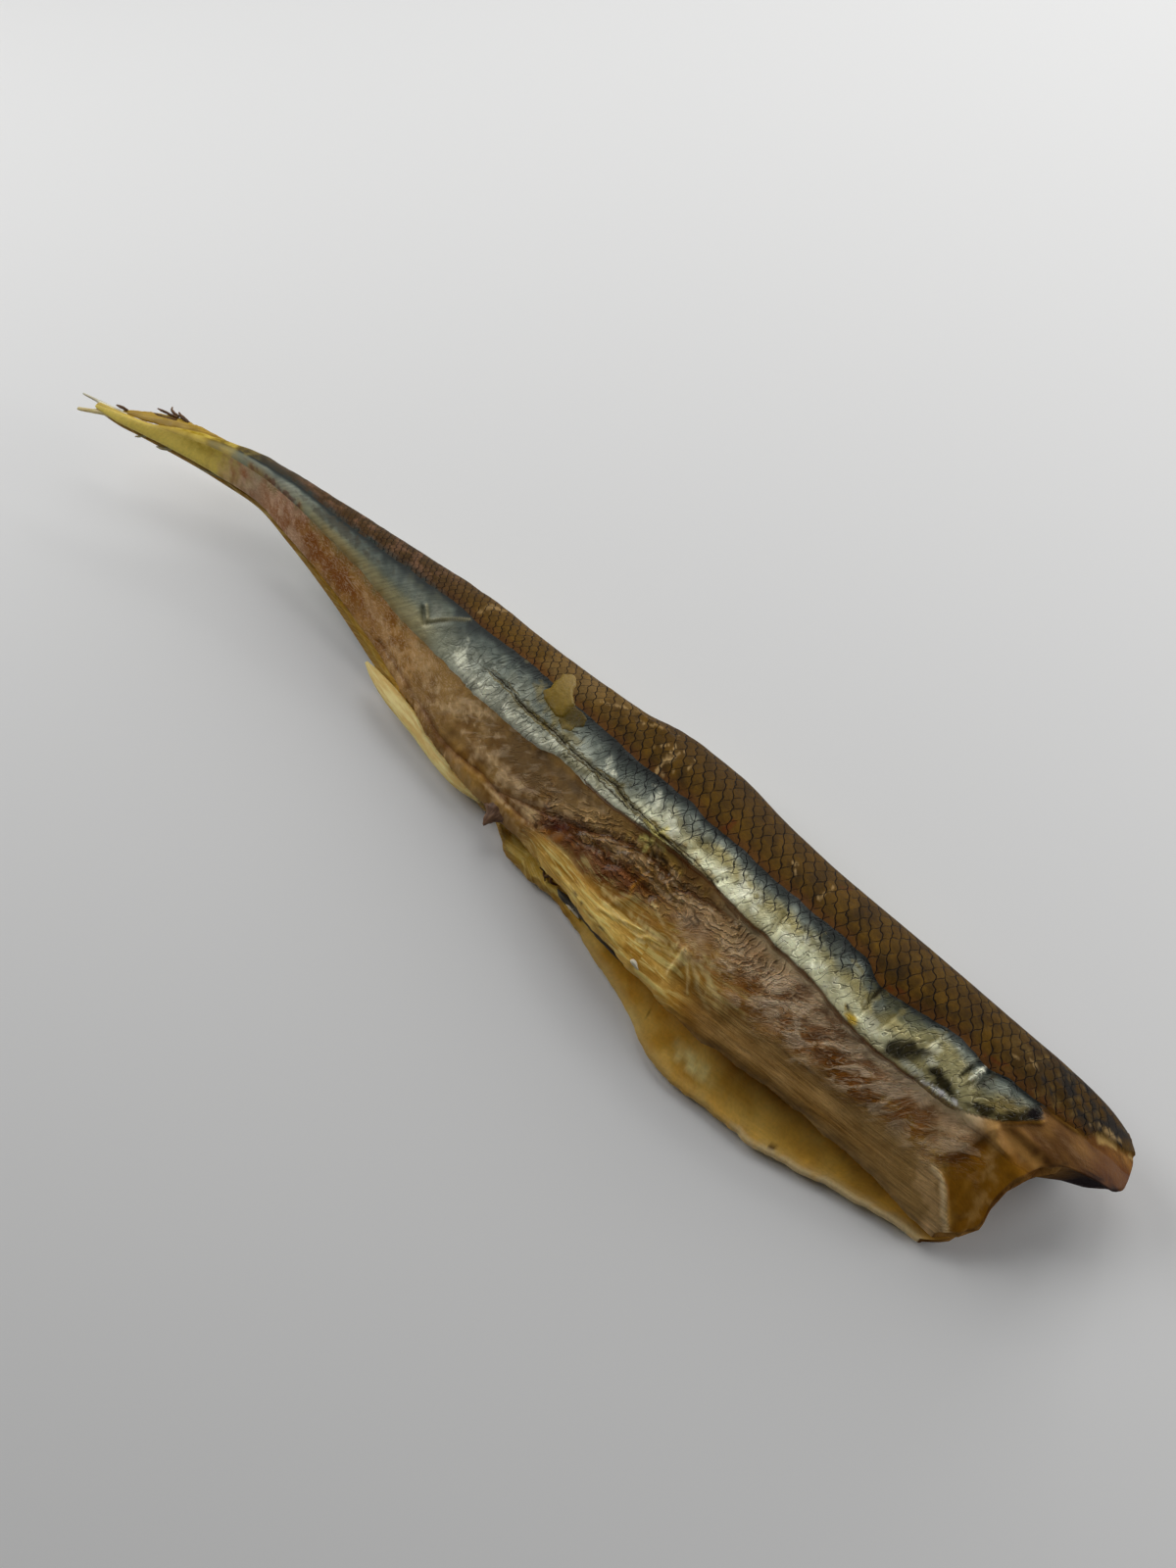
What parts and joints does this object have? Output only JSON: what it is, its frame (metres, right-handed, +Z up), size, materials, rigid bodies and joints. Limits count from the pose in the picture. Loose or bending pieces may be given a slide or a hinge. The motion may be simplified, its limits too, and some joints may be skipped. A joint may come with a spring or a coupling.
{
  "type": "smoked fish",
  "caption": "Small whole smoked fish without its head, gutted and dried, lying on its left side with open belly flaps and a narrow raised tail.",
  "frame": {"origin": "on the resting surface, under the middle of the bounding box", "axes": "+X from the tail to the nape, +Y from the belly to the back, +Z up from the resting surface"},
  "size_m": [0.181, 0.0372, 0.0136],
  "materials": {
    "skin": "smoked skin and dried flesh, oily and semi-gloss, with a silver band along the flank"
  },
  "bodies": {
    "root": {"fish": "skin"}
  },
  "joints": []
}
